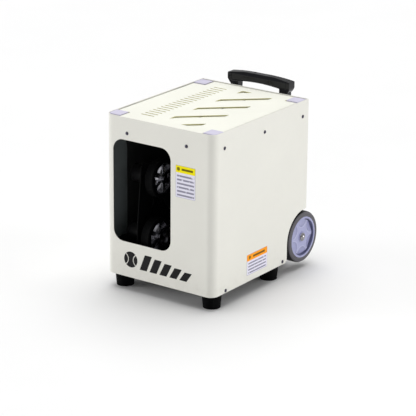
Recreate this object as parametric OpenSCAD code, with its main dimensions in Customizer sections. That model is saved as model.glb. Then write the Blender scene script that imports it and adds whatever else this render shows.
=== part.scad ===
// Portable tennis ball machine: folded steel cabinet with a slotted hopper lid,
// twin-wheel launch head behind a front window, transport wheels and a
// telescoping trolley handle. Millimetres, +Z up, front faces -Y.
// Modules are drawn in cabinet coordinates (z = 0 at the cabinet underside).

/* [Cabinet] */
// Outer width of the cabinet across the side panels
body_w = 366; // [340:1:390]
// Outer depth of the cabinet, front face to rear face
body_d = 456; // [430:1:480]
// Height of the cabinet walls above their lower edge
body_h = 460; // [440:1:480]
// Thickness of the folded sheet steel
sheet = 2; // [1.5:0.5:3]
// Outside radius of the two bent front corners
corner_r = 24; // [16:1:30]
// Height of the rubber feet under the cabinet
foot_h = 42; // [36:1:50]
// Radius of a foot where it meets the cabinet
foot_r_top = 29; // [22:0.5:30]
// Radius of a foot where it meets the floor
foot_r_bot = 24.5; // [18:0.5:28]
// Sideways distance of each foot from the middle
foot_x = 149; // [140:1:154]
// Position of the front feet along the depth
foot_y_front = -186; // [-195:1:-175]
// Position of the rear feet along the depth
foot_y_rear = 91; // [80:1:96]

/* [Window] */
// Left edge of the ball window
win_x0 = -156; // [-158:1:-150]
// Right edge of the ball window
win_x1 = 40; // [34:1:46]
// Lower edge of the ball window
win_z0 = 102; // [98:1:110]
// Upper edge of the ball window
win_z1 = 396; // [380:1:397]
// Corner radius of the ball window
win_r = 33; // [20:1:40]

/* [Lid] */
// Half width of the lid
lid_x = 176; // [174:0.5:176.5]
// Half depth of the lid
lid_y = 222; // [216:1:222.5]
// Height of the lid's top face above the cabinet underside
lid_z = 458.2; // [457.8:0.1:459]
// Length of the slanted slots measured across the lid
slot_len = 110; // [90:1:112]
// Opening of each slanted slot measured along the depth
slot_open = 26; // [20:1:34]
// Rise of a slanted slot from its left end to its right end
slot_rise = 100; // [80:1:110]
// Spacing of the slanted slots along the depth
slot_pitch = 106; // [100:1:112]
// Number of plain round-ended vents in the left row
vent_n = 20; // [12:1:22]
// Spacing of the vents in the left row
vent_pitch = 18; // [16:0.5:19]
// Height of the lid hinge axis
hinge_z = 451.2; // [450.6:0.1:451.6]
// Sideways position of the lid hinge axis
hinge_x = -171; // [-171.5:0.5:-170.5]

/* [Transport wheels] */
// Outer radius of a transport wheel
wheel_r = 75; // [70:1:78]
// Width of a transport wheel
wheel_w = 40; // [34:1:42]
// Position of the wheel axle along the depth
wheel_y = 217; // [210:1:220]
// Height of the wheel axle above the cabinet underside
wheel_z = 52; // [48:1:56]
// Radius of the wheel arch about the axle
arch_r = 85; // [82:0.5:87]
// Radius of the axle
axle_r = 6; // [5:0.5:8]

/* [Handle] */
// Sideways distance of each handle post from the middle
post_x = 84; // [78:1:88]
// Position of the handle posts along the depth
post_y = 258; // [254:1:262]
// Height of the top of the grip above the cabinet underside
grip_top = 497.5; // [490:0.5:505]
// Half length of the grip
grip_x = 106; // [104:1:112]

/* [Launch head] */
// Sideways position of the head's turning axis
head_x = -58; // [-60:1:-56]
// Position of the head's turning axis along the depth
head_y = -20; // [-24:1:-16]
// Height of the elevation axis
pitch_z = 180; // [176:1:184]
// Radius of a launch wheel
lw_r = 56; // [52:0.5:58]
// Width of a launch wheel
lw_w = 28; // [24:1:30]
// Forward reach of the upper launch wheel from the turning axis
up_f = 123; // [120:1:126]
// Height of the upper launch wheel
up_z = 277; // [274:1:280]
// Forward reach of the lower launch wheel from the turning axis
lo_f = 141; // [138:1:144]
// Height of the lower launch wheel
lo_z = 112; // [110:1:115]
// Radius of the spaces and tubes that pass a ball
ball_path_r = 36; // [34.5:0.5:37]

/* [Feeder] */
// Sideways position of the feed carousel axis
feed_x = 15; // [12:1:18]
// Position of the feed carousel axis along the depth
feed_y = 25; // [22:1:28]
// Radius of the feed carousel
feed_r = 127; // [124:1:128]
// Number of ball pockets in the feed carousel
pockets = 6; // [5:1:6]

/* [Hidden] */
$fn = 64;
e = 0.01;
W = body_w; D = body_d; H = body_h; t = sheet; R = corner_r;
xi = W/2 - t;              // inner face of the side panels
yf = -D/2;                 // front face
yr = D/2;                  // rear face
y_off = -30.5;             // brings the middle of the whole object to y = 0
drop_r = sqrt(pow(head_x-feed_x,2)+pow(head_y-feed_y,2));
drop_a = atan2(head_y-feed_y, head_x-feed_x);
black = [0.05,0.05,0.055]; cream = [0.86,0.86,0.80]; steel = [0.7,0.71,0.72];
lilac = [0.70,0.69,0.78]; dark = [0.16,0.16,0.17]; rubber = [0.07,0.07,0.07];

// ---------- helpers ----------
module place() translate([0,y_off,foot_h]) children();
module both() { children(); mirror([1,0,0]) children(); }
module ext_y(y0,y1) translate([0,y1,0]) rotate([90,0,0]) linear_extrude(height=y1-y0) children();
module ext_x(x0,x1) translate([x0,0,0]) rotate([90,0,90]) linear_extrude(height=x1-x0) children();
module ext_z(z0,z1) translate([0,0,z0]) linear_extrude(height=z1-z0) children();
module box(x0,x1,y0,y1,z0,z1) translate([x0,y0,z0]) cube([x1-x0,y1-y0,z1-z0]);
module cx(x0,x1,r) translate([x0,0,0]) rotate([0,90,0]) cylinder(h=x1-x0,r=r);
module cy(y0,y1,r) translate([0,y1,0]) rotate([90,0,0]) cylinder(h=y1-y0,r=r);
module cz(z0,z1,r) translate([0,0,z0]) cylinder(h=z1-z0,r=r);
module rrect(a0,b0,a1,b1,r) {
  translate([a0+r,b0]) square([a1-a0-2*r,b1-b0]);
  translate([a0,b0+r]) square([a1-a0,b1-b0-2*r]);
  for (a=[a0+r,a1-r], b=[b0+r,b1-r]) translate([a,b]) circle(r);
}
// plan outline of the cabinet, moved in by o, ending at yb
module plan(o,yb) {
  translate([-W/2+o,yf+R]) square([W-2*o,yb-yf-R]);
  translate([-W/2+R,yf+o]) square([W-2*R,R-o+e]);
  for (s=[-1,1]) translate([s*(W/2-R),yf+R]) circle(R-o);
}
// side view of the space cut away round a transport wheel
module arch(r) {
  translate([wheel_y,wheel_z]) circle(r);
  translate([wheel_y-r,-1]) square([r+60,wheel_z+1]);
  translate([wheel_y,wheel_z]) square([60,r]);
}
module arch_cut() {
  intersection() { arch(arch_r); translate([0,-1]) square([yr-t,300]); }
  difference() {
    translate([wheel_y-arch_r-12,-1]) square([12+e,13]);
    translate([wheel_y-arch_r-12,12]) circle(12);
  }
}
// pan head screw, head up +Z from z = 0, shank down
module pan(l,r=5,s=2.4) {
  difference() {
    intersection() { cylinder(h=3.2,r=r); translate([0,0,-3.3]) sphere(6.5); }
    for (q=[0,90]) rotate([0,0,q]) translate([-2.6,-0.5,2]) cube([5.2,1,2]);
  }
  translate([0,0,-l]) cylinder(h=l+e,r=s);
}
// flat hex nut, true hexagon
module hexnut(af,h,b) difference() { cylinder(h=h,r=af/sqrt(3),$fn=6); translate([0,0,-1]) cylinder(h=h+2,r=b); }

front_screws = [[-108,415.5],[92,415.5]];
side_top = [[-180,415],[10,415],[199,415]];
side_low = [[-169,7],[110,8.5]];
rear_screws = [[-165,415],[165,415],[-60,8],[60,8],[-40,415],[40,415]];
tray_c = [feed_x,feed_y];

// ---------- cabinet ----------
// folded wrap: front and both sides in one piece
module body_shell() color(cream) place() difference() {
  ext_z(0,H) difference() { plan(0,yr-t); plan(t,yr+5); }
  ext_y(yf-5,yf+5) rrect(win_x0,win_z0,win_x1,win_z1,win_r);
  ext_x(-W/2-5,W/2+5) arch_cut();
  for (p=front_screws) translate([p[0],0,p[1]]) cy(yf-5,yf+5,2.6);
  for (p=side_top) translate([0,p[0],p[1]]) cx(-W/2-5,W/2+5,2.6);
  for (p=side_low) translate([0,p[0],p[1]]) cx(-W/2-5,W/2+5,2.6);
}
module rear_panel() color(cream) place() difference() {
  ext_y(yr-t,yr) difference() {
    translate([-W/2,0]) square([W,H]);
    for (s=[-1,1]) translate([s>0?130:-200,-1]) square([70,138.4]);
    rrect(-52,256,52,394,5);
  }
  for (p=rear_screws) translate([p[0],0,p[1]]) cy(yr-5,yr+5,2.6);
}
// floor pan with a turned-up edge, cut round the wheel wells
module base_plate() color(steel) place() difference() {
  union() {
    ext_z(0,2) plan(t,yr-t);
    ext_z(0,18) difference() { plan(t,yr-t); plan(t+2,yr-t-2); }
  }
  for (s=[-1,1]) translate([s>0?127.9:-200,wheel_y-arch_r-3,-1]) cube([72.1,200,30]);
  for (x=[-foot_x,foot_x], y=[foot_y_front,foot_y_rear]) translate([x,y,0]) cz(-5,5,4.2);
  for (p=side_low) translate([0,p[0],p[1]]) cx(-W/2-5,W/2+5,2.6);
  for (p=[rear_screws[2],rear_screws[3]]) translate([p[0],0,p[1]]) cy(yr-9,yr+5,2.6);
  translate([head_x,head_y,0]) cz(-5,5,6);
  for (x=[-60:20:60]) translate([x,165,0]) cz(-5,5,5);
}
// pressed inner arch over one transport wheel
module well() difference() {
  intersection() { ext_x(128,xi) arch(arch_r+2); box(120,190,wheel_y-arch_r-2,yr-t,0,200); }
  ext_x(130,W) arch(arch_r);
  translate([0,wheel_y,wheel_z]) cx(100,140,axle_r+0.6);
}
module wheel_wells() color(cream) place() both() well();
// ring under the lid with a skirt that the cabinet screws bite into
module top_frame() color(cream) place() difference() {
  union() {
    ext_z(438,440) difference() { plan(t,yr-t); plan(t+12,yr-t-12); }
    ext_z(400,439) difference() { plan(t,yr-t); plan(t+2,yr-t-2); }
    for (x=[-1,1], y=[-1,1]) ext_z(438,446) rrect(x*160-16,y*198-16,x*160+16,y*198+16,7);
  }
  for (p=front_screws) translate([p[0],0,p[1]]) cy(yf-5,yf+9,2.6);
  for (p=side_top) translate([0,p[0],p[1]]) cx(-W/2-5,W/2+5,2.6);
  for (p=rear_screws) if (p[1]>300) translate([p[0],0,p[1]]) cy(yr-9,yr+5,2.6);
  for (x=[-1,1], y=[-1,1]) translate([x*160,y*198,0]) cz(430,447,3.05);
}
// moulded corner pads pressed into the frame, level with the lid
module corner_pads() color(lilac) place() for (x=[-1,1], y=[-1,1]) {
  ext_z(446,459.4) intersection() { pad_square(x,y,20.2); plan(t+1.2,yr-t-1.2); }
  ext_z(459.4,460) intersection() { pad_square(x,y,19.6); plan(t+1.8,yr-t-1.8); }
  translate([x*160,y*198,0]) cz(438.5,446,3);
}
module pad_square(x,y,h) rrect(x*160-h,y*199-h,x*160+h,y*199+h,2);
// control panel and feed motor screws
module small_screws() color(steel) place() {
  for (x=[-54,54], z=[255,395]) translate([x,yr+3.5,z]) rotate([-90,0,0]) { difference() { cylinder(h=1.6,r=3); translate([0,0,0.8]) cylinder(h=2,r=1.2,$fn=6); } translate([0,0,-3.4]) cylinder(h=3.5,r=1.5); }
  translate([feed_x,feed_y,0]) for (a=[45:90:315]) rotate([0,0,a]) translate([28,0,0]) { cz(369,373.6,2); cz(373.5,375,3.8); }
}
// dark hood behind the window: flange, left wall, part roof and right wall
module window_liner() color(dark) place() difference() {
  union() {
    ext_z(88,398) intersection() {
      difference() { plan(t,0); plan(t+1.5,5); }
      translate([-W/2,yf]) square([W/2+56,92]);
    }
    ext_z(396.5,398) intersection() { plan(t,0); translate([-W/2,yf]) square([W/2+56,34]); }
    box(54.5,56,yf+t,yf+t+66,88,398);
  }
  ext_y(yf,yf+8) rrect(win_x0-1,win_z0-1,win_x1+1,win_z1+1,win_r);
  box(-128,24,yf,yf+9,60,150);
  ext_x(-190,-170) difference() { translate([yf+34,340]) square([60,70]); translate([yf+34,338]) circle(58); }
}
module rubber_feet() color(rubber) place() for (x=[-foot_x,foot_x], y=[foot_y_front,foot_y_rear]) translate([x,y,-foot_h]) difference() {
  union() {
    cylinder(h=3,r=foot_r_bot);
    translate([0,0,3]) cylinder(h=foot_h-6,r1=foot_r_bot,r2=foot_r_top-1);
    translate([0,0,foot_h-3]) cylinder(h=3,r=foot_r_top);
  }
  translate([0,0,-1]) cylinder(h=19,r=9.5);
  translate([0,0,-1]) cylinder(h=foot_h+2,r=4.2);
}
module foot_bolts() color(steel) place() for (x=[-foot_x,foot_x], y=[foot_y_front,foot_y_rear]) translate([x,y,-foot_h]) {
  difference() { translate([0,0,12]) cylinder(h=6,r=7.5,$fn=6); translate([0,0,11]) cylinder(h=3,r=3); }
  translate([0,0,17]) cylinder(h=foot_h-6,r=4);
  translate([0,0,foot_h+2]) hexnut(13,6.5,4);
}
module shell_screws() color(steel) place() {
  for (p=front_screws) translate([p[0],yf,p[1]]) rotate([90,0,0]) pan(5.5);
  for (p=side_top) { translate([W/2,p[0],p[1]]) rotate([0,90,0]) pan(5.5); translate([-W/2,p[0],p[1]]) rotate([0,-90,0]) pan(5.5); }
  for (p=side_low) { translate([W/2,p[0],p[1]]) rotate([0,90,0]) pan(5.5); translate([-W/2,p[0],p[1]]) rotate([0,-90,0]) pan(5.5); }
  for (p=rear_screws) translate([p[0],yr,p[1]]) rotate([-90,0,0]) pan(5.5);
}

// ---------- transport wheels ----------
module axle() color(steel) place() translate([0,wheel_y,wheel_z]) cx(-W/2,W/2,axle_r);
module axle_brackets() color(steel) place() both() difference() {
  union() {
    ext_x(116,119) { rrect(198,2,224,68,5); translate([198,2]) square([26,10]); }
    box(96,119,198,224,2,4.5);
  }
  translate([0,wheel_y,wheel_z]) cx(90,130,axle_r+0.05);
  translate([105,211,0]) cz(-1,9,2.6);
}
module tyre_profile() polygon([[60,1.2],[62,0.4],[65.2,0.4],[65.6,1.2],[66.4,1.2],[66.8,0.4],[70,0.8],[72.8,2.6],[74.4,5.4],
  [75,9],[75,11.6],[73,11.9],[73,13.6],[75,13.9],[75,18.8],[73,19.1],[73,20.9],[75,21.2],[75,26.1],[73,26.4],[73,28.1],[75,28.4],
  [75,31],[74.4,34.6],[72.8,37.4],[70,39.2],[62,39.6],[60,38.8]]);
module wheel_tyre() translate([W/2-wheel_w,wheel_y,wheel_z]) rotate([0,90,0]) difference() {
  rotate_extrude($fn=96) scale([wheel_r/75,1]) tyre_profile();
  for (a=[0:15:345]) rotate([0,0,a]) { translate([73.6,-1.3,1.5]) cube([4,2.6,10]); translate([73.6,-1.3,28.5]) cube([4,2.6,10]); }
}
// wheel centre: barrel, raised ring, dished face with six pressed lobes
module wheel_hub() translate([W/2-wheel_w,wheel_y,wheel_z]) rotate([0,90,0]) difference() {
  union() {
    difference() { translate([0,0,1.2]) cylinder(h=38.2,r=60); translate([0,0,-1]) cylinder(h=40,r=54.2); translate([0,0,33]) cylinder(h=9,r=54.2); }
    translate([0,0,27]) cylinder(h=3.6,r=54.5);
    difference() {
      translate([0,0,30]) cylinder(h=4.4,r=50.8);
      for (a=[0:60:300]) rotate([0,0,a]) translate([52,0,34.4+70.4]) sphere(74);
    }
    translate([0,0,4]) cylinder(h=31.9,r=15);
    for (a=[30:60:330]) rotate([0,0,a]) translate([13,-1.5,10]) cube([42,3,18]);
  }
  translate([0,0,-1]) cylinder(h=60,r=axle_r+0.08);
}
module wheel_tyre_right() color(rubber) place() wheel_tyre();
module wheel_hub_right() color(lilac) place() wheel_hub();
module wheel_tyre_left() color(rubber) place() mirror([1,0,0]) wheel_tyre();
module wheel_hub_left() color(lilac) place() mirror([1,0,0]) wheel_hub();
module axle_caps() color(steel) place() both() translate([0,wheel_y,wheel_z]) difference() {
  translate([W/2-3.7,0,0]) rotate([0,90,0]) {
    cylinder(h=1.4,r=12);
    rotate_extrude() intersection() { translate([0,-5.2]) circle(12.2); square([11.2,9]); }
  }
  cx(100,W/2,axle_r);
}

// ---------- handle ----------
module tube2(w,d,wl,r) difference() { rrect(-w/2,-d/2,w/2,d/2,r); rrect(-w/2+wl,-d/2+wl,w/2-wl,d/2-wl,r-wl); }
module posts() both() translate([post_x,post_y,0]) children();
module handle_outer_tubes() color(steel) place() posts() ext_z(44,418) tube2(32,22,1.5,5);
// clamps on the rear panel and the throat collars on the outer tubes
module handle_mounts() color(black) place() posts() difference() {
  union() {
    ext_z(34,70) rrect(-20,yr-post_y,20,15,5);
    ext_z(394,412) rrect(-20,yr-post_y,20,15,5);
    ext_z(414,434) rrect(-19,-14,19,14,6);
  }
  ext_z(44,418) rrect(-16,-11,16,11,5);
  ext_z(400,440) rrect(-13.4,-8.9,13.4,8.9,4.4);
}
module handle_mid_tubes() color(steel) place() posts() ext_z(50,434.3) tube2(26,17,1.3,4);
module handle_mid_collars() color(black) place() posts() difference() {
  ext_z(434.3,440.2) rrect(-18,-13,18,13,5.5);
  ext_z(430,450) rrect(-10.6,-6.4,10.6,6.4,3.3);
}
module handle_top_tubes() color(steel) place() posts() ext_z(56,462) tube2(20.4,12,1.2,3);
module grip_front() difference() {
  union() {
    intersection() {
      rrect(-grip_x,452,grip_x,grip_top+8,22);
      translate([0,grip_top-648]) circle(648,$fn=180);
      translate([-130,440]) square([260,grip_top-440+e]);
    }
    for (s=[-1,1]) translate([s*post_x-12.8,441]) square([25.6,34]);
  }
  intersection() {
    rrect(-70.6,400,70.6,476,9);
    translate([0,471.5-482]) circle(482,$fn=180);
  }
}
module handle_grip() color(black) place() difference() {
  intersection() {
    ext_y(post_y-20,post_y+20) grip_front();
    ext_x(-130,130) union() { rrect(post_y-14,459,post_y+14,grip_top+0.5,13); translate([post_y-11.5,430]) square([23,44]); }
  }
  posts() ext_z(430,462) rrect(-10.2,-6,10.2,6,3);
  translate([0,post_y,0]) ext_z(484,520) rrect(-20,-7,20,7,3);
  for (s=[-1,1]) translate([s*93,post_y,0]) ext_x(-0.35,0.35) difference() {
    translate([-30,440]) square([60,80]);
    rrect(-13.3,400,13.3,grip_top-7.9,10);
  }
}
module release_button() color(dark) place() translate([0,post_y,0]) difference() {
  intersection() {
    ext_z(488.6,500) rrect(-19.4,-6.4,19.4,6.4,2.6);
    translate([0,0,grip_top-1.2-640]) rotate([90,0,0]) cylinder(h=40,r=640,center=true,$fn=180);
  }
  for (x=[-12:4:12]) box(x-0.5,x+0.5,-4,4,grip_top-1.8,520);
}

// ---------- lid ----------
module lid_plan(o) {
  translate([-lid_x+o,-175+o]) square([2*(lid_x-o),350-2*o]);
  translate([-137+o,-lid_y+o]) square([2*(137-o),2*(lid_y-o)]);
}
module slots_all() {
  for (k=[-3:1]) intersection() {
    translate([-15.5,-187]) square([slot_len,376]);
    translate([-15.5,52+k*slot_pitch]) polygon([[0,0],[0,slot_open],[slot_len,slot_open+slot_rise],[slot_len,slot_rise]]);
  }
}
module vents() for (i=[0:vent_n-1]) translate([-82,(i-(vent_n-1)/2)*vent_pitch+2]) {
  translate([-20,-2.3]) square([40,4.6]);
  for (s=[-1,1]) translate([s*20,0]) circle(2.3);
}
module lid_panel() color(cream) place() difference() {
  union() {
    ext_z(lid_z-2,lid_z) lid_plan(0);
    ext_z(lid_z-16,lid_z-1) difference() { lid_plan(0); lid_plan(2); }
  }
  ext_z(lid_z-4,lid_z+2) { slots_all(); vents(); }
  for (y=hinge_ys) box(-lid_x-1,-lid_x+2.1,y-34,y+34,430,lid_z-2);
}
hinge_ys = [-118,118];
module lid_inner_skin() color(cream) place() difference() {
  union() {
    ext_z(lid_z-5.5,lid_z-4) lid_plan(2);
    for (x=[-147,-35,135], y=[-130,0,130]) translate([x,y,0]) cz(lid_z-5,lid_z-2,5);
  }
  for (x=[-147,-35,135], y=[-130,0,130]) translate([x,y,0]) cz(lid_z-12,lid_z-3,2.2);
  box(35.5,38.5,-230,230,430,lid_z-3);
  for (y=hinge_ys) box(-lid_x-1,-156.5,y-34,y+34,430,lid_z-3);
}
// hinge leaf standing on the frame ledge, with its two outer knuckles and the pin
module hinge_fixed_leaves() color(steel) place() for (y=hinge_ys) {
  difference() {
    union() {
      box(hinge_x-1,hinge_x+1,y-32,y+32,440,hinge_z);
      box(-178.6,hinge_x+1,y-32,y+32,440,441.4);
    }
    box(-176,-165,y-15.8,y+15.8,hinge_z-3.4,470);
    for (q=[-1,1]) translate([hinge_x,y+q*24,hinge_z]) cy(-8.3,8.3,2.4);
  }
  for (q=[-1,1]) translate([hinge_x,y+q*24,hinge_z]) cy(-8,8,2.8);
  translate([hinge_x,y,hinge_z]) cy(-30,30,1.55);
}
// hinge leaf under the lid sheet, with the middle knuckle
module hinge_lid_leaves() color(steel) place() for (y=hinge_ys) difference() {
  union() {
    translate([hinge_x,y,hinge_z]) cy(-15.3,15.3,2.8);
    box(hinge_x-1,hinge_x+1,y-15.3,y+15.3,hinge_z,lid_z-2);
    box(hinge_x-1,-158,y-30,y+30,lid_z-3.5,lid_z-2);
  }
  translate([hinge_x,y,hinge_z]) cy(-40,40,1.6);
}
// ---------- hopper and feeder ----------
module hopper_sides() color(cream) place() {
  ext_z(406,437) difference() { plan(t+4,yr-t-4); plan(t+6,yr-t-6); }
  ext_z(436,438) difference() { plan(t+2.2,yr-t-2.2); plan(t+6,yr-t-6); }
  intersection() {
    ext_z(406,437) plan(t+5,yr-t-5);
    union() for (s=[-1,1]) {
      ext_y(yf+9,yr-9) polygon([[s*175.4,432],[s*175.4,429.6],[s*134,406],[s*130,406]]);
      ext_x(-175,175) polygon([[s*220.4,432],[s*220.4,429.6],[s*180,406],[s*176,406]]);
    }
  }
}
module hopper_floor() color(cream) place() difference() {
  ext_z(404,406) plan(t+5,yr-t-5);
  translate([feed_x,feed_y,0]) cz(400,410,feed_r+3);
}
// round pan bolted under the hopper floor, which keeps the balls in the carousel
module feeder_pan() color(dark) place() difference() {
  translate([feed_x,feed_y,0]) { cz(371.5,403,feed_r+5); cz(402,404,feed_r+12); }
  translate([feed_x,feed_y,0]) { cz(373.5,440,feed_r+3); cz(360,380,7); }
  translate([head_x,head_y,0]) cz(360,380,ball_path_r+2);
  for (a=[45:90:315]) translate([feed_x,feed_y,0]) rotate([0,0,a]) translate([28,0,0]) cz(360,380,2.1);
}
// star wheel with open pockets between its fingers
module feed_carousel() color(black) place() translate([feed_x,feed_y,0]) difference() {
  union() {
    cz(376,404,feed_r);
    cz(404,406,feed_r-2);
    translate([0,0,405]) cylinder(h=17,r1=46,r2=15);
    cz(420,424,15);
  }
  for (k=[0:pockets-1]) rotate([0,0,drop_a+k*360/pockets]) {
    translate([drop_r,0,0]) cz(370,430,ball_path_r);
    box(drop_r,feed_r+5,-ball_path_r,ball_path_r,370,430);
  }
  cz(370,416,5);
}
module feed_shaft() color(steel) place() translate([feed_x,feed_y,0]) cz(362.4,415,5);
module feed_motor() color(dark) place() translate([feed_x,feed_y,0]) difference() {
  union() {
    cz(368.5,371.5,34.5);
    cz(344,369,31);
    cz(298,344,21);
    cz(294,298,9);
    box(-4,4,19,24,300,306);
  }
  cz(362,380,5.05);
  for (a=[45:90:315]) rotate([0,0,a]) translate([28,0,0]) cz(364,380,2.1);
}
module drop_chute() color(dark) place() translate([head_x,head_y,0]) difference() {
  union() { cz(250,371.5,ball_path_r+4); cz(369,371.5,ball_path_r+11); }
  cz(240,380,ball_path_r+1.8);
}

// ---------- launch head ----------
module head() translate([head_x,head_y,0]) children();
module turntable_base() color(steel) place() head() difference() {
  union() { cz(2,9,62); cz(2,4,70); }
  cz(-1,20,46);
  for (a=[0:60:300]) rotate([0,0,a]) translate([66,0,0]) cz(0,10,2);
}
module yaw_pivot() color(steel) place() head() { cz(0,22,5.95); cz(-3,0,9); cz(16.6,22,10); cz(2,9,8); }
module yoke() color(black) place() head() difference() {
  union() {
    cz(9.4,13.4,66);
    for (s=[-1,1]) {
      ext_x(s>0?45:-48,s>0?48:-45) { translate([-26,13]) square([52,150]); translate([0,pitch_z]) circle(20); translate([-20,150]) square([40,pitch_z-150]); }
      box(s>0?45:-60,s>0?60:-45,-26,26,13,16);
    }
  }
  cz(0,16,6);
  cz(13.4,30,11);
  translate([0,0,pitch_z]) cx(-60,60,6.05);
  for (s=[-1,1]) ext_x(s>0?40:-60,s>0?60:-40) rrect(-14,40,14,130,8);
  for (a=[45:90:315]) rotate([0,0,a]) translate([52,0,0]) cz(0,20,3);
}
// two side plates of the tilting head
module cradle_plates() color(black) place() head() { cradle_sheets(); trunnions(); }
module trunnions() for (s=[-1,1]) translate([0,0,pitch_z]) { cx(s>0?40:-52,s>0?52:-40,5.97); cx(s>0?48.4:-52,s>0?52:-48.4,9); }
module cradle_sheets() difference() {
  union() {
    ext_x(-41,-38) polygon([[34,142],[34,228],[22,236],[-44,236],[-84,300],[-96,314],[-150,314],[-160,304],[-176,150],[-178,84],[-168,74],[-112,74],[-40,138]]);
    ext_x(38,41) polygon([[34,142],[34,228],[22,236],[-44,236],[-60,216],[-60,150],[-44,140]]);
  }
  translate([0,-up_f,up_z]) cx(-60,0,9);
  translate([0,-lo_f,lo_z]) cx(-60,0,9);
  for (z=[up_z,lo_z], a=[45:90:315]) translate([0,z==up_z?-up_f:-lo_f,z]) rotate([a,0,0]) translate([0,18,0]) cx(-60,0,2.1);
  ext_x(-60,0) { translate([-118,195]) circle(15); translate([-78,190]) circle(11); }
}
// sloping trough that leads a ball from the chute into the nip
module ball_guide() color(dark) place() head() translate([0,0,206]) rotate([12,0,0]) difference() {
  ext_y(-60,44) difference() {
    union() { circle(37.97); translate([-37.97,0]) square([75.94,16]); }
    translate([-60,16]) square([120,60]);
  }
  ext_y(-70,42) { circle(ball_path_r-0.4); translate([-ball_path_r+0.4,0]) square([2*ball_path_r-0.8,60]); }
}
module motor() {
  difference() {
    union() { cx(-85,-41,25); cx(-81,-79,26); cx(-87.5,-85,9); box(-84,-80,-6,6,22,29); }
    cx(-46,-40,5.05);
    for (a=[45:90:315]) rotate([a,0,0]) translate([0,18,0]) cx(-49,-40,2);
  }
}
module launch_motors() color(dark) place() head() { translate([0,-up_f,up_z]) motor(); translate([0,-lo_f,lo_z]) motor(); }
// launch wheel centre: boss, six bladed spokes and a rim
module lw_hub() union() {
  difference() { cx(-12,12,45); cx(-20,20,40.5); }
  cx(-13,14,13);
  cx(13.5,16,8);
  cx(-45.6,-12.9,4.98);
  for (a=[0:60:300]) rotate([a,0,0]) {
    box(-9.5,9.5,-1.75,1.75,11,42.5);
    box(3,8.5,-6,6,11.5,42);
  }
}
module lw_tyre() rotate([0,90,0]) rotate_extrude($fn=96) polygon([[45,-lw_w/2+2],[46,-lw_w/2],[lw_r-3,-lw_w/2],[lw_r-0.6,-lw_w/2+2.2],[lw_r-1.6,-6],[lw_r-2,0],[lw_r-1.6,6],[lw_r-0.6,lw_w/2-2.2],[lw_r-3,lw_w/2],[46,lw_w/2],[45,lw_w/2-2]]);
module upper_wheel_hub() color(steel) place() head() translate([0,-up_f,up_z]) lw_hub();
module upper_wheel_tyre() color(rubber) place() head() translate([0,-up_f,up_z]) lw_tyre();
module lower_wheel_hub() color(steel) place() head() translate([0,-lo_f,lo_z]) lw_hub();
module lower_wheel_tyre() color(rubber) place() head() translate([0,-lo_f,lo_z]) lw_tyre();
// ---------- power and electronics ----------
module battery() color(dark) place() {
  box(62,139,-110,71,4,166); box(64,137,-108,69,165.9,170); box(70,131,-32,-12,169.9,171);
  for (y=[-98,59]) { box(95,105,y-5,y+5,169.9,175); translate([100,y,0]) cz(174.9,181,3); }
}
module battery_bracket() color(steel) place() {
    box(58,143,-114,75,2,4);
    difference() { box(58,143,-114,75,4,22); box(59.5,141.5,-112.5,73.5,3,30); }
    box(59.5,61,-40,-5,4,173); box(140,141.5,-40,-5,4,173); box(59.5,141.5,-40,-5,171.2,173);
}
module controller_box() color(dark) place() difference() {
  union() { box(-50,50,176,208,258,366); for (x=[-50,50], z=[270,354]) translate([x,0,z]) cy(200,208,6); }
  box(-46,46,180,212,262,362);
}
module control_panel() color(black) place() difference() {
  union() {
    ext_y(yr,yr+3.5) rrect(-60,248,60,402,6);
    ext_y(yr-16,yr) translate([-46,264]) square([28,38]);
    for (x=[-30,30]) translate([x,0,340]) cy(yr-6,yr,6);
  }
  ext_y(yr-20,yr+10) translate([-42.5,267.5]) square([21,31]);
  translate([0,yr+2,283]) cx(-45,-19,1.65);
  for (x=[-30,30]) translate([x,0,340]) cy(yr-9,yr+9,3.08);
  for (x=[-6,14]) translate([x,0,283]) cy(yr-9,yr+9,6.3);
  translate([38,0,283]) cy(yr-9,yr+9,8);
  ext_y(yr+2.7,yr+9) rrect(-22,371,22,387,3);
  ext_y(yr-3,yr+9) rrect(-20,373,20,385,2);
  for (x=[-54,54], z=[255,395]) translate([x,0,z]) cy(yr-9,yr+9,1.6);
}
module gauge_lens() color([0.2,0.25,0.3]) place() { ext_y(yr+2.7,yr+3.7) rrect(-21.8,371.2,21.8,386.8,2.8); }
module charge_socket() color(black) place() translate([38,0,283]) difference() {
  union() { cy(yr-14,yr+3.6,7.9); cy(yr+3.5,yr+6,11); }
  cy(yr-10,yr+9,4.05);
  difference() { cy(yr+4.6,yr+9,12); cy(yr,yr+10,8.6); }
}
module knob(x) translate([x,0,340]) difference() {
  union() {
    cy(yr-8,yr+5,3);
    cy(yr+4,yr+7,13.5);
    cy(yr+6,yr+18,12);
  }
  for (a=[18:36:342]) rotate([0,a,0]) translate([13.4,0,0]) cy(yr+8,yr+19,2.4);
  box(-0.8,0.8,yr+17.2,yr+19,4,14);
}
module speed_knob() color(dark) place() knob(-30);
module interval_knob() color(dark) place() knob(30);
module power_rocker() color(black) place() translate([0,yr+2,283]) rotate([6,0,0]) {
  ext_x(-42.1,-21.9) polygon([[-9,-9],[-9,9],[-1,12.6],[4.6,13],[2.6,0],[4.6,-13],[-1,-12.6]]);
  cx(-43.9,-20.1,1.6);
}
module pushbtn(x) translate([x,0,283]) { cy(yr-8,yr+7,6); cy(yr-3.5,yr-0.4,7.6); }
module start_button() color([0.2,0.5,0.3]) place() pushbtn(-6);
module elevation_button() color(dark) place() pushbtn(14);
module front_label() color([0.9,0.88,0.93]) place() ext_y(yf-0.35,yf) rrect(57,268,122,358,2);
module side_label() color([0.9,0.88,0.93]) place() ext_x(W/2,W/2+0.35) rrect(-68,19,31,79,2);
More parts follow.
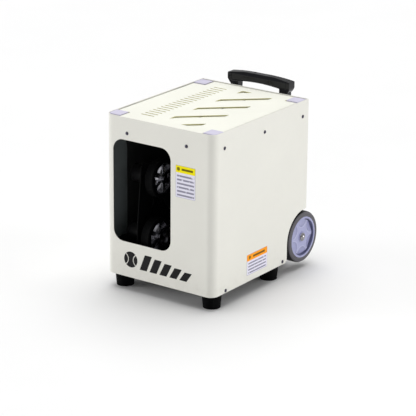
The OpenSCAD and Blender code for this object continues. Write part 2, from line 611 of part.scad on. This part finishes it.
// plain generic mark: a ball with seams and five slanted bars
module front_mark() color(black) place() ext_y(yf-0.3,yf) {
  difference() {
    translate([-97,53]) circle(23);
    for (s=[-1,1]) translate([-97+s*26,53]) difference() { circle(19); circle(16.4); }
  }
  for (i=[0:4]) translate([-66+i*34,30]) polygon([[0,0],[24,0],[42,46-i*5],[18,46-i*5]]);
}

body_shell();
rear_panel();
base_plate();
wheel_wells();
top_frame();
corner_pads();
small_screws();
window_liner();
rubber_feet();
foot_bolts();
shell_screws();
axle();
axle_brackets();
wheel_tyre_right();
wheel_hub_right();
wheel_tyre_left();
wheel_hub_left();
axle_caps();
handle_outer_tubes();
handle_mounts();
handle_mid_tubes();
handle_mid_collars();
handle_top_tubes();
handle_grip();
release_button();
lid_panel();
lid_inner_skin();
hinge_fixed_leaves();
hinge_lid_leaves();
hopper_sides();
hopper_floor();
feeder_pan();
feed_carousel();
feed_shaft();
feed_motor();
drop_chute();
turntable_base();
yaw_pivot();
yoke();
cradle_plates();
ball_guide();
launch_motors();
upper_wheel_hub();
upper_wheel_tyre();
lower_wheel_hub();
lower_wheel_tyre();
battery();
battery_bracket();
controller_box();
control_panel();
gauge_lens();
charge_socket();
speed_knob();
interval_knob();
power_rocker();
start_button();
elevation_button();
front_label();
side_label();
front_mark();
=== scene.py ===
import math
import bpy
import bmesh
from mathutils import Matrix, Vector

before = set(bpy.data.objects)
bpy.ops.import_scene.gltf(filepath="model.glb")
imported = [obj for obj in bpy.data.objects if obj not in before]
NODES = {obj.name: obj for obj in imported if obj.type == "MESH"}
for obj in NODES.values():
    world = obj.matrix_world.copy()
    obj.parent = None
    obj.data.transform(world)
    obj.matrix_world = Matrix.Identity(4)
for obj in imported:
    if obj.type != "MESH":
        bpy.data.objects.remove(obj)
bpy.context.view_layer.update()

scene = bpy.context.scene
YO, ZO = -0.0305, 0.042          # cabinet coordinates to the shared frame


def P(x, y, z):
    """A point given in millimetres of the cabinet, in metres of the shared frame."""
    return Vector((x / 1000, y / 1000 + YO, z / 1000 + ZO))


# ------------------------------------------------------------------ camera
A, E, ROLL = math.radians(35.48), math.radians(18.74), math.radians(0.44)
H = 0.460
back = Vector((math.sin(A) * math.cos(E), -math.cos(A) * math.cos(E), math.sin(E)))
right = Vector((math.cos(A), math.sin(A), 0))
up = back.cross(right)
cr, sr = math.cos(ROLL), math.sin(ROLL)
r_ax = cr * right + sr * up
u_ax = -sr * right + cr * up
loc = (Vector((0, 0, 0.5)) - (-0.002) * r_ax - 0.141 * u_ax + 12.70 * back) * H + Vector((0, YO, ZO))
cam_data = bpy.data.cameras.new("camera")
cam_data.sensor_width = 36
cam_data.lens = 2085 / 416 * 36
cam_data.clip_start, cam_data.clip_end = 0.05, 100
cam = bpy.data.objects.new("camera", cam_data)
scene.collection.objects.link(cam)
rot = Matrix((r_ax, u_ax, back)).transposed()
cam.matrix_world = Matrix.Translation(loc) @ rot.to_4x4()
scene.camera = cam

scene.view_settings.view_transform = "Standard"
scene.view_settings.look = "None"


# ------------------------------------------------------------------ node helpers
class N:
    """Short hand for building one material's nodes."""

    def __init__(self, name):
        self.m = bpy.data.materials.new(name)
        self.m.use_nodes = True
        self.t = self.m.node_tree
        self.t.nodes.clear()
        self.out = self.t.nodes.new("ShaderNodeOutputMaterial")
        self.b = self.t.nodes.new("ShaderNodeBsdfPrincipled")
        self.t.links.new(self.b.outputs[0], self.out.inputs[0])
        self.tc = self.t.nodes.new("ShaderNodeTexCoord")
        self.sep = None

    def link(self, a, b):
        self.t.links.new(a, b)

    def _in(self, sock, v):
        if isinstance(v, (int, float)):
            sock.default_value = v
        elif isinstance(v, (tuple, list)):
            sock.default_value = (*v, 1.0)[: len(sock.default_value)] if len(v) == 3 and len(sock.default_value) == 4 else v
        else:
            self.link(v, sock)

    def math(self, op, a, b=0.0, c=None, clamp=False):
        n = self.t.nodes.new("ShaderNodeMath")
        n.operation = op
        n.use_clamp = clamp
        self._in(n.inputs[0], a)
        self._in(n.inputs[1], b)
        if c is not None:
            self._in(n.inputs[2], c)
        return n.outputs[0]

    def xyz(self):
        if self.sep is None:
            self.sep = self.t.nodes.new("ShaderNodeSeparateXYZ")
            self.link(self.tc.outputs["Object"], self.sep.inputs[0])
        return self.sep.outputs

    def normal(self):
        s = self.t.nodes.new("ShaderNodeSeparateXYZ")
        self.link(self.tc.outputs["Normal"], s.inputs[0])
        return s.outputs

    def scaled(self, s):
        n = self.t.nodes.new("ShaderNodeMapping")
        n.inputs["Scale"].default_value = s
        self.link(self.tc.outputs["Object"], n.inputs[0])
        return n.outputs[0]

    def noise(self, scale, detail=3.0, rough=0.55, vec=None, dist=0.0):
        n = self.t.nodes.new("ShaderNodeTexNoise")
        n.inputs["Scale"].default_value = scale
        n.inputs["Detail"].default_value = detail
        n.inputs["Roughness"].default_value = rough
        n.inputs["Distortion"].default_value = dist
        self.link(vec or self.tc.outputs["Object"], n.inputs["Vector"])
        return n.outputs["Fac"]

    def voronoi(self, scale, feature="F1", vec=None):
        n = self.t.nodes.new("ShaderNodeTexVoronoi")
        n.feature = feature
        n.inputs["Scale"].default_value = scale
        self.link(vec or self.tc.outputs["Object"], n.inputs["Vector"])
        return n.outputs["Distance"]

    def ramp(self, fac, stops):
        n = self.t.nodes.new("ShaderNodeValToRGB")
        el = n.color_ramp.elements
        while len(el) > len(stops):
            el.remove(el[-1])
        while len(el) < len(stops):
            el.new(1.0)
        for e_, (p_, c_) in zip(el, stops):
            e_.position = p_
            e_.color = (*c_, 1) if isinstance(c_, (tuple, list)) else (c_, c_, c_, 1)
        self.link(fac, n.inputs[0])
        return n.outputs[0]

    def remap(self, v, a, b, c, d):
        n = self.t.nodes.new("ShaderNodeMapRange")
        for i, x in enumerate((a, b, c, d)):
            n.inputs[i + 1].default_value = x
        self.link(v, n.inputs[0])
        return n.outputs[0]

    def mix(self, fac, a, b, mode="MIX"):
        n = self.t.nodes.new("ShaderNodeMix")
        n.data_type = "RGBA"
        n.blend_type = mode
        self._in(n.inputs[0], fac)
        self._in(n.inputs[6], a)
        self._in(n.inputs[7], b)
        return n.outputs[2]

    def between(self, v, lo, hi):
        return self.math("MULTIPLY", self.math("GREATER_THAN", v, lo), self.math("LESS_THAN", v, hi))

    def bump(self, h, dist, strength=1.0, prev=None):
        n = self.t.nodes.new("ShaderNodeBump")
        n.inputs["Strength"].default_value = strength
        n.inputs["Distance"].default_value = dist
        self.link(h, n.inputs["Height"])
        if prev is not None:
            self.link(prev, n.inputs["Normal"])
        return n.outputs[0]

    def set(self, color=None, rough=None, metal=None, normal=None, **k):
        b = self.b
        for key, v in (("Base Color", color), ("Roughness", rough), ("Metallic", metal)):
            if v is not None:
                self._in(b.inputs[key], v)
        if normal is not None:
            self.link(normal, b.inputs["Normal"])
        for key, v in k.items():
            self._in(b.inputs[key.replace("_", " ")], v)
        return self.m


def srgb(r, g, b):
    f = lambda c: (c / 255 / 12.92) if c / 255 <= 0.04045 else ((c / 255 + 0.055) / 1.055) ** 2.4
    return (f(r), f(g), f(b))


def mul(c, k):
    return tuple(min(1.0, x * k) for x in c)


# ------------------------------------------------------------------ materials
def inside(n):
    """1 on the inner faces of the cabinet, 0 outside: a rounded-rectangle distance in plan; it masks the painted shade
    inside the cabinet.
    """
    x, y, z = n.xyz()
    dx = n.math("SUBTRACT", n.math("ABSOLUTE", x), 0.159)
    dy = n.math("SUBTRACT", n.math("MULTIPLY", n.math("SUBTRACT", y, YO), -1.0), 0.204)
    px, py = n.math("MAXIMUM", dx, 0.0), n.math("MAXIMUM", dy, 0.0)
    far = n.math("SQRT", n.math("ADD", n.math("MULTIPLY", px, px), n.math("MULTIPLY", py, py)))
    d = n.math("ADD", far, n.math("MINIMUM", n.math("MAXIMUM", dx, dy), 0.0))
    f = n.math("LESS_THAN", d, 0.0232)
    f = n.math("MULTIPLY", f, n.math("LESS_THAN", y, 0.2272 + YO))
    f = n.math("MULTIPLY", f, n.math("GREATER_THAN", z, 0.0005 + ZO))
    return n.math("MULTIPLY", f, n.math("LESS_THAN", z, 0.4385 + ZO))


def powder(name, col, edge=None, rough=0.42, grime=True, painted_inner_shade=False):
    """Powder coat: fine orange peel, faint mottling, dust towards the floor, an olive tint on the slot walls as painted
    shade, and, for the cabinet shell, near-black inner faces as painted shade.
    """
    n = N(name)
    fine = n.noise(900, 2.0, 0.5)
    peel = n.noise(330, 2.0, 0.5)
    broad = n.noise(7, 4.0, 0.6)
    mott = n.noise(60, 4.0, 0.6)
    c = n.mix(n.remap(broad, 0.35, 0.7, 0.0, 1.0), mul(col, 0.975), col)
    c = n.mix(n.remap(mott, 0.45, 0.75, 0.0, 0.10), c, mul(col, 0.90))
    if grime:
        z = n.xyz()[2]
        low = n.remap(z, 0.042, 0.11, 1.0, 0.0)
        dust = n.math("MULTIPLY", low, n.remap(n.noise(38, 5.0, 0.7), 0.45, 0.75, 0.0, 0.13))
        c = n.mix(dust, c, srgb(150, 143, 126))
        scr = n.noise(1.0, 6.0, 0.7, n.scaled((30, 30, 900)))
        c = n.mix(n.remap(scr, 0.70, 0.78, 0.0, 0.05), c, mul(col, 0.78))
    if edge is not None:
        nz = n.math("ABSOLUTE", n.normal()[2])
        wall = n.math("LESS_THAN", nz, 0.5)
        # painted shade: an olive tint on the cut walls of the slots in the top sheet only, not the skirt
        ex, ey, ez = n.xyz()
        wall = n.math("MULTIPLY", wall, n.math("GREATER_THAN", ez, 0.4555 + ZO))
        wall = n.math("MULTIPLY", wall, n.math("LESS_THAN", n.math("ABSOLUTE", ex), 0.170))
        wall = n.math("MULTIPLY", wall, n.between(ey, -0.214 + YO, 0.214 + YO))
        c = n.mix(n.math("MULTIPLY", wall, 0.85), c, edge)
    if painted_inner_shade:
        # painted shade: the cabinet's inner faces are painted near-black to stand in for the dark interior
        inner_shade_col = n.mix(n.remap(mott, 0.3, 0.7, 0.0, 1.0), (0.0030, 0.0034, 0.0036), (0.0055, 0.0060, 0.0062))
        c = n.mix(inside(n), c, inner_shade_col)
    r = n.math("ADD", n.remap(broad, 0.3, 0.75, rough - 0.04, rough + 0.05), n.remap(mott, 0.3, 0.8, -0.03, 0.04))
    nb = n.bump(peel, 0.00010, 0.55)
    nb = n.bump(fine, 0.00005, 0.5, nb)
    if painted_inner_shade:
        r = n.math("MAXIMUM", r, n.math("MULTIPLY", inside(n), 0.9))
        return n.set(c, r, 0.0, nb)
    return n.set(c, r, 0.0, nb, Coat_Weight=0.12, Coat_Roughness=0.30)


def plastic(name, col, rough=0.38, grain=900, depth=0.00008, var=0.06, coat=0.0, wear=None, dustc=None, spec=0.5):
    """Moulded plastic: spark-eroded grain, slow colour drift, scuffed patches."""
    n = N(name)
    g = n.voronoi(grain)
    f = n.noise(grain * 0.45, 3.0, 0.6)
    b = n.noise(14, 4.0, 0.6)
    s = n.noise(1.0, 7.0, 0.75, n.scaled((260, 40, 260)))
    c = n.mix(n.remap(b, 0.3, 0.75, 0.0, 1.0), mul(col, 1 - var), mul(col, 1 + var))
    if wear is not None:
        c = n.mix(n.remap(s, 0.62, 0.74, 0.0, 0.35), c, wear)
    if dustc is not None:
        up_ = n.remap(n.normal()[2], 0.3, 1.0, 0.0, 0.30)
        c = n.mix(n.math("MULTIPLY", up_, n.remap(n.noise(55, 5, 0.7), 0.35, 0.7, 0.1, 1.0)), c, dustc)
    r = n.math("ADD", n.remap(b, 0.3, 0.75, rough - 0.05, rough + 0.06), n.remap(s, 0.55, 0.75, 0.0, 0.10))
    nb = n.bump(g, depth, 0.45)
    nb = n.bump(f, depth * 0.8, 0.4, nb)
    return n.set(c, r, 0.0, nb, Coat_Weight=coat, Coat_Roughness=0.12, Specular_IOR_Level=spec)


def metal(name, col, rough=0.28, brush=(40, 40, 1600), stain=0.25, aniso=0.0, dark=0.55):
    n = N(name)
    br = n.noise(1.0, 5.0, 0.7, n.scaled(brush))
    b = n.noise(22, 5.0, 0.65)
    spots = n.noise(170, 4.0, 0.6)
    c = n.mix(n.remap(br, 0.3, 0.7, 0.0, 1.0), mul(col, 0.82), mul(col, 1.08))
    c = n.mix(n.math("MULTIPLY", n.remap(b, 0.48, 0.72, 0.0, 1.0), stain), c, mul(col, dark))
    c = n.mix(n.remap(spots, 0.68, 0.78, 0.0, 0.3), c, mul(col, 0.45))
    r = n.math("ADD", n.remap(br, 0.25, 0.75, rough - 0.08, rough + 0.10), n.remap(b, 0.4, 0.75, 0.0, 0.12))
    nb = n.bump(br, 0.00004, 0.5)
    return n.set(c, r, 1.0, nb, Anisotropic=aniso)


def rubber(name, col, rough=0.72, cast=900, dust=0.35, dustcol=(0.20, 0.19, 0.17), spec=0.5):
    n = N(name)
    g = n.noise(cast, 3.0, 0.6)
    b = n.noise(28, 5.0, 0.65)
    d = n.noise(75, 6.0, 0.7)
    c = n.mix(n.remap(b, 0.3, 0.75, 0.0, 1.0), mul(col, 0.85), mul(col, 1.15))
    c = n.mix(n.math("MULTIPLY", n.remap(d, 0.45, 0.75, 0.0, 1.0), dust), c, dustcol)
    r = n.remap(d, 0.3, 0.75, rough - 0.08, min(0.98, rough + 0.14))
    nb = n.bump(g, 0.00012, 0.5)
    nb = n.bump(d, 0.00010, 0.35, nb)
    return n.set(c, r, 0.0, nb, Specular_IOR_Level=spec)


CREAM = srgb(230, 229, 221)
M = {}
M["cream"] = powder("cream_powder", CREAM)
# painted shade: the shell's inner faces are painted near-black
M["shell"] = powder("cream_shell_painted_inner_shade", CREAM, painted_inner_shade=True)
# painted light: the lid is a lighter copy of the cabinet cream; its olive slot-wall tint is painted shade
M["lid"] = powder("cream_lid_painted_light", srgb(242, 242, 231), edge=srgb(190, 184, 104), grime=False)
M["tray"] = plastic("tray_plastic", srgb(214, 213, 198), 0.42, 700, 0.00006, 0.03)
M["pan"] = plastic("pan_black", (0.010, 0.010, 0.011), 0.5, 700, 0.00006, 0.1)
# painted light: the inner skin seen through the slots is whiter than the lid, to brighten the shaded slots
M["skin"] = plastic("lid_skin_painted_light", srgb(246, 245, 226), 0.45, 700, 0.00006, 0.02)
M["lilac"] = plastic("lilac_pad", srgb(205, 201, 221), 0.40, 1100, 0.00007, 0.04)
M["blackp"] = plastic("black_plastic", (0.018, 0.018, 0.020), 0.42, 900, 0.00008, 0.12, wear=(0.06, 0.06, 0.062))
M["gloss"] = plastic("gloss_black", (0.0035, 0.004, 0.0055), 0.13, 500, 0.000010, 0.15, coat=0.10, wear=(0.005, 0.006, 0.008), spec=0.22)
M["liner"] = plastic("liner_plastic", (0.105, 0.120, 0.122), 0.60, 800, 0.00009, 0.12)
M["inner"] = plastic("inner_black", (0.0040, 0.0045, 0.0048), 0.62, 800, 0.00009, 0.12, spec=0.15)
M["darkp"] = plastic("dark_plastic", (0.04, 0.04, 0.045), 0.40, 900, 0.00008, 0.10)
M["steel"] = metal("zinc_steel", (0.56, 0.56, 0.57), 0.34)
M["screw"] = metal("screw_steel", (0.085, 0.080, 0.110), 0.20, (500, 500, 500), 0.1)
M["galv"] = metal("galvanised", (0.50, 0.51, 0.51), 0.42, (30, 30, 30), 0.45)
M["alu"] = metal("anodised_tube", (0.60, 0.61, 0.63), 0.30, (900, 900, 8), 0.1)
M["castalu"] = metal("cast_aluminium", (0.42, 0.42, 0.45), 0.24, (260, 260, 260), 0.15)
M["chrome"] = metal("polished_cap", (0.36, 0.35, 0.36), 0.15, (300, 300, 300), 0.05)
M["motor"] = plastic("motor_paint", (0.0035, 0.0035, 0.004), 0.45, 500, 0.00005, 0.1, spec=0.2)
M["blackst"] = plastic("black_steel", (0.0020, 0.0021, 0.0024), 0.62, 380, 0.00007, 0.2, spec=0.08)
M["foot"] = rubber("foot_rubber", (0.0010, 0.0011, 0.0016), 0.66, 900, 0.08, (0.004, 0.004, 0.004), 0.06)
M["lrub"] = rubber("launch_rubber", (0.0010, 0.0011, 0.0013), 0.7, 600, 0.15, (0.0030, 0.0034, 0.0024), 0.05)


def tyre_mat(name, side):
    """Transport tyre: dark grey moulded sidewall with a fine ring and radial ribs, dust speckle over all, and a
    near-black tread that is painted shade.
    """
    n = N(name)
    x, y, z = n.xyz()
    cy, cz = 0.217 + YO, 0.052 + ZO
    dy, dz = n.math("SUBTRACT", y, cy), n.math("SUBTRACT", z, cz)
    rad = n.math("SQRT", n.math("ADD", n.math("MULTIPLY", dy, dy), n.math("MULTIPLY", dz, dz)))
    # painted shade: the tread band is painted near-black against the grey sidewall
    tread_shade = n.math("GREATER_THAN", rad, 0.0735)
    base = n.mix(tread_shade, srgb(88, 86, 91), srgb(12, 13, 18))
    ring = n.between(rad, 0.0650, 0.0670)
    base = n.mix(n.math("MULTIPLY", ring, 0.55), base, srgb(66, 64, 70))
    b = n.noise(26, 5.0, 0.65)
    d = n.noise(80, 6.0, 0.7)
    c = n.mix(n.remap(b, 0.3, 0.75, 0.0, 0.35), base, n.mix(0.5, base, srgb(62, 60, 66)))
    c = n.mix(n.remap(d, 0.5, 0.78, 0.0, 0.16), c, srgb(116, 110, 104))
    ang = n.math("ARCTAN2", dz, dy)
    ribs = n.math("SINE", n.math("MULTIPLY", ang, 120.0))
    zone = n.between(rad, 0.0675, 0.0725)
    h = n.math("MULTIPLY", n.math("MULTIPLY", ribs, zone), 0.5)
    nb = n.bump(h, 0.00018, 0.6)
    nb = n.bump(n.noise(900, 3.0, 0.6), 0.00010, 0.5, nb)
    r = n.remap(d, 0.3, 0.8, 0.52, 0.82)
    return n.set(c, r, 0.0, nb)


def hub_mat(name):
    n = N(name)
    x, y, z = n.xyz()
    cy, cz = 0.217 + YO, 0.052 + ZO
    dy, dz = n.math("SUBTRACT", y, cy), n.math("SUBTRACT", z, cz)
    rad = n.math("SQRT", n.math("ADD", n.math("MULTIPLY", dy, dy), n.math("MULTIPLY", dz, dz)))
    b = n.noise(24, 4.0, 0.6)
    d = n.noise(90, 6.0, 0.7)
    col = srgb(160, 162, 202)
    c = n.mix(n.remap(b, 0.3, 0.75, 0.0, 1.0), mul(col, 0.93), mul(col, 1.04))
    dust = n.math("MULTIPLY", n.remap(rad, 0.035, 0.056, 0.25, 1.0), n.remap(d, 0.42, 0.75, 0.0, 0.25))
    c = n.mix(dust, c, srgb(118, 112, 120))
    # painted shade in the groove round the dished face and inside the six pressed lobes, and painted highlights on the
    # lobe rims
    groove_shade = n.between(rad, 0.0503, 0.0543)
    c = n.mix(n.math("MULTIPLY", groove_shade, 0.62), c, srgb(58, 60, 92))
    face = n.math("LESS_THAN", rad, 0.0508)
    for k in range(6):
        a = math.radians(30 + 60 * k)
        ly, lz = cy + 0.052 * math.cos(a), cz + 0.052 * math.sin(a)
        ey, ez = n.math("SUBTRACT", y, ly), n.math("SUBTRACT", z, lz)
        far = n.math("SQRT", n.math("ADD", n.math("MULTIPLY", ey, ey), n.math("MULTIPLY", ez, ez)))
        # painted shade: each lobe darkens towards its edge
        lobe_shade = n.math("MULTIPLY", face, n.remap(far, 0.0140, 0.0226, 0.0, 0.34))
        lobe_shade = n.math("MULTIPLY", lobe_shade, n.math("LESS_THAN", far, 0.0228))
        c = n.mix(lobe_shade, c, srgb(104, 106, 148))
        # painted highlight: a light line round each lobe rim
        lobe_rim_highlight = n.math("MULTIPLY", face, n.between(far, 0.0226, 0.0242))
        c = n.mix(n.math("MULTIPLY", lobe_rim_highlight, 0.55), c, srgb(208, 210, 236))
    r = n.math("ADD", n.remap(b, 0.3, 0.75, 0.24, 0.34), n.remap(d, 0.4, 0.8, 0.0, 0.16))
    nb = n.bump(n.noise(700, 3.0, 0.6), 0.00006, 0.4)
    return n.set(c, r, 0.0, nb, Coat_Weight=0.25, Coat_Roughness=0.16)


def label_mat(name, axis, a0, a1, z0, z1, band, bandcol, rows, left=0.0):
    """Printed sticker: coloured band over rows of plain grey bars, thin border. No wording."""
    n = N(name)
    co = n.xyz()
    a, z = co[axis], co[2]
    w, h = a1 - a0, z1 - z0
    paper = srgb(232, 230, 244)
    c = n.mix(n.remap(n.noise(60, 4.0, 0.6), 0.35, 0.75, 0.0, 0.5), paper, mul(paper, 0.93))
    c = n.mix(n.between(z, z1 - band, z1), c, bandcol)
    bar = n.between(z, z1 - band * 0.66, z1 - band * 0.36)
    span = n.between(a, a0 + w * 0.30, a0 + w * 0.88)
    c = n.mix(n.math("MULTIPLY", n.math("MULTIPLY", bar, span), 0.90), c, srgb(74, 64, 0))
    blob = n.math("LESS_THAN", n.math("ADD", n.math("POWER", n.math("SUBTRACT", a, a0 + w * 0.14), 2.0), n.math("POWER", n.math("SUBTRACT", z, z1 - band * 0.5), 2.0)), (band * 0.26) ** 2)
    c = n.mix(n.math("MULTIPLY", blob, 0.85), c, srgb(80, 72, 10))
    body = h - band
    pitch = body / (rows + 0.5)
    ph = n.math("FRACT", n.math("DIVIDE", n.math("SUBTRACT", z, z0 + pitch * 0.15), pitch))
    row = n.between(ph, 0.26, 0.72)
    zone = n.between(z, z0 + pitch * 0.25, z1 - band - pitch * 0.2)
    inx = n.between(a, a0 + w * 0.07, a1 - w * 0.06)
    brk = n.math("GREATER_THAN", n.noise(1.0, 1.0, 0.5, n.scaled((170 if axis == 0 else 0.0, 170 if axis == 1 else 0.0, 55))), 0.36)
    m = n.math("MULTIPLY", n.math("MULTIPLY", row, zone), n.math("MULTIPLY", inx, brk))
    c = n.mix(n.math("MULTIPLY", m, 0.72), c, srgb(78, 76, 104))
    edge = 0.0011
    inside = n.math("MULTIPLY", n.between(a, a0 + edge, a1 - edge), n.between(z, z0 + edge, z1 - edge))
    c = n.mix(n.math("MULTIPLY", n.math("SUBTRACT", 1.0, inside), 0.5), c, srgb(120, 118, 140))
    nb = n.bump(n.noise(420, 3.0, 0.6), 0.00003, 0.4)
    r = n.remap(n.noise(40, 4.0, 0.6), 0.3, 0.8, 0.28, 0.42)
    return n.set(c, r, 0.0, nb, Specular_IOR_Level=0.12)


M["tyre"] = tyre_mat("tyre_rubber", 1)
M["hub"] = hub_mat("wheel_centre")
M["flabel"] = label_mat("front_sticker", 0, 0.057, 0.122, 0.268 + ZO, 0.358 + ZO, 0.020, srgb(246, 232, 2), 6)
M["slabel"] = label_mat("side_sticker", 1, -0.068 + YO, 0.031 + YO, 0.019 + ZO, 0.079 + ZO, 0.019, srgb(255, 160, 8), 4)


def panel_mat():
    """Control panel plastic with plain printed scale arcs and ticks round the two knobs."""
    n = N("panel_plastic")
    g = n.voronoi(900)
    b = n.noise(14, 4.0, 0.6)
    s_ = n.noise(1.0, 7.0, 0.75, n.scaled((260, 40, 260)))
    col = (0.018, 0.018, 0.020)
    c = n.mix(n.remap(b, 0.3, 0.75, 0.0, 1.0), mul(col, 0.88), mul(col, 1.12))
    c = n.mix(n.remap(s_, 0.62, 0.74, 0.0, 0.35), c, (0.05, 0.05, 0.052))
    x, y, z = n.xyz()
    front = n.math("GREATER_THAN", n.normal()[1], 0.7)
    for kx in (-0.030, 0.030):
        dx, dz = n.math("SUBTRACT", x, kx), n.math("SUBTRACT", z, 0.340 + ZO)
        rad = n.math("SQRT", n.math("ADD", n.math("MULTIPLY", dx, dx), n.math("MULTIPLY", dz, dz)))
        ang = n.math("ARCTAN2", dx, dz)
        sweep = n.math("LESS_THAN", n.math("ABSOLUTE", ang), math.radians(138))
        step = n.math("FRACT", n.math("ADD", n.math("DIVIDE", ang, math.radians(27)), 0.5))
        tick = n.between(step, 0.43, 0.57)
        zone = n.math("MULTIPLY", n.between(rad, 0.0170, 0.0196), tick)
        arc = n.between(rad, 0.0166, 0.0172)
        m = n.math("MULTIPLY", n.math("MAXIMUM", zone, arc), n.math("MULTIPLY", sweep, front))
        c = n.mix(n.math("MULTIPLY", m, 0.85), c, srgb(214, 214, 216))
    r = n.math("ADD", n.remap(b, 0.3, 0.75, 0.37, 0.48), n.remap(s_, 0.55, 0.75, 0.0, 0.10))
    return n.set(c, r, 0.0, n.bump(g, 0.00008, 0.45))


def ink():
    n = N("black_ink")
    b = n.noise(300, 3.0, 0.6)
    e_ = n.noise(40, 4.0, 0.6)
    c = n.mix(n.remap(e_, 0.4, 0.8, 0.0, 1.0), (0.0016, 0.0016, 0.0020), (0.0038, 0.0038, 0.0044))
    return n.set(c, n.remap(e_, 0.3, 0.8, 0.40, 0.52), 0.0, n.bump(b, 0.00003, 0.4), Specular_IOR_Level=0.2)


def tinted():
    n = N("gauge_window")
    b = n.noise(30, 4.0, 0.6)
    return n.set(n.mix(b, (0.05, 0.09, 0.10), (0.08, 0.13, 0.14)), n.remap(b, 0.3, 0.8, 0.06, 0.16), 0.0, n.bump(n.noise(200, 2, 0.5), 0.00002, 0.3), Coat_Weight=0.8, Coat_Roughness=0.05)


M["ink"] = ink()
M["panel"] = panel_mat()
M["lens"] = tinted()
M["green"] = plastic("green_button", (0.03, 0.22, 0.06), 0.25, 700, 0.00003, 0.06, coat=0.4)

USE = dict(
    body_shell="shell", rear_panel="shell", base_plate="blackst", wheel_wells="shell", top_frame="cream",
    corner_pads="lilac", small_screws="screw", window_liner="liner", rubber_feet="foot", foot_bolts="steel",
    shell_screws="screw", axle="steel", axle_brackets="galv", wheel_tyre_right="tyre", wheel_hub_right="hub",
    wheel_tyre_left="tyre", wheel_hub_left="hub", axle_caps="chrome", handle_outer_tubes="alu",
    handle_mounts="blackp", handle_mid_tubes="alu", handle_mid_collars="blackp", handle_top_tubes="alu",
    handle_grip="gloss", release_button="darkp", lid_panel="lid", lid_inner_skin="skin",
    hinge_fixed_leaves="steel", hinge_lid_leaves="steel", hopper_sides="tray", hopper_floor="tray", feeder_pan="inner",
    feed_carousel="pan", feed_shaft="steel", feed_motor="motor", drop_chute="inner", turntable_base="steel",
    yaw_pivot="steel", yoke="blackst", cradle_plates="blackst", ball_guide="inner",
    launch_motors="motor", upper_wheel_hub="castalu", upper_wheel_tyre="lrub", lower_wheel_hub="castalu",
    lower_wheel_tyre="lrub", battery="darkp", battery_bracket="galv", controller_box="darkp",
    control_panel="panel", gauge_lens="lens", charge_socket="gloss", speed_knob="darkp",
    interval_knob="darkp", power_rocker="gloss", start_button="green", elevation_button="darkp",
    front_label="flabel", side_label="slabel", front_mark="ink",
)
for name, obj in NODES.items():
    key = USE.get(name)
    if key is None:
        raise RuntimeError("no material for " + name)
    obj.data.materials.clear()
    obj.data.materials.append(M[key])

# small rounded edges, so that edges catch the light as moulded and bent ones do
BEVEL = dict(
    handle_grip=(0.0045, 4, 40), release_button=(0.0008, 2, 40), corner_pads=(0.0005, 2, 40), lid_panel=(0.0004, 2, 50),
    body_shell=(0.0005, 2, 50), rear_panel=(0.0004, 2, 50), rubber_feet=(0.0012, 2, 40), speed_knob=(0.0005, 2, 40),
    interval_knob=(0.0005, 2, 40), power_rocker=(0.0006, 2, 40), control_panel=(0.0008, 2, 45), handle_mounts=(0.0010, 2, 45),
    wheel_hub_right=(0.0007, 2, 32), wheel_hub_left=(0.0007, 2, 32), battery=(0.0012, 2, 45), controller_box=(0.0010, 2, 45),
)
for name, (width, segments, angle) in BEVEL.items():
    mod = NODES[name].modifiers.new("edges", "BEVEL")
    mod.width = width
    mod.segments = segments
    mod.limit_method = "ANGLE"
    mod.angle_limit = math.radians(angle)
    mod.harden_normals = False
    mod.use_clamp_overlap = True

# ------------------------------------------------------------------ stage and light
def floor_mat():
    n = N("floor")
    b = n.noise(1.5, 4.0, 0.6)
    f = n.noise(90, 3.0, 0.6)
    c = n.mix(n.remap(b, 0.3, 0.8, 0.0, 1.0), (0.825, 0.825, 0.825), (0.845, 0.845, 0.845))
    return n.set(c, n.remap(b, 0.3, 0.8, 0.72, 0.80), 0.0, n.bump(f, 0.00005, 0.2))


me = bpy.data.meshes.new("floor")
s = 30.0
me.from_pydata([(-s, -s, 0), (s, -s, 0), (s, s, 0), (-s, s, 0)], [], [(0, 1, 2, 3)])
floor = bpy.data.objects.new("floor", me)
scene.collection.objects.link(floor)
me.materials.append(floor_mat())

world = bpy.data.worlds.new("world")
world.use_nodes = True
bg = world.node_tree.nodes["Background"]
bg.inputs[0].default_value = (1.0, 1.0, 1.0, 1)
bg.inputs[1].default_value = 0.42
scene.world = world


def sun(name, direction, strength, angle, color=(1, 1, 1)):
    """A soft far light shining from the given direction."""
    d = bpy.data.lights.new(name, "SUN")
    d.energy = strength
    d.angle = math.radians(angle)
    d.color = color
    o = bpy.data.objects.new(name, d)
    o.rotation_mode = "QUATERNION"
    o.rotation_quaternion = (-Vector(direction)).to_track_quat("-Z", "Y")
    scene.collection.objects.link(o)
    return o


def aim(az, el):
    """Direction towards a light: azimuth from -Y towards +X, and elevation, in degrees."""
    az, el = math.radians(az), math.radians(el)
    return (math.sin(az) * math.cos(el), -math.cos(az) * math.cos(el), math.sin(el))


sun("top", (-0.15, 0.25, 1.0), 2.20, 60)
sun("front_left", aim(-58, 7), 1.30, 30)
sun("right_rear", aim(115, 7), 1.30, 30)
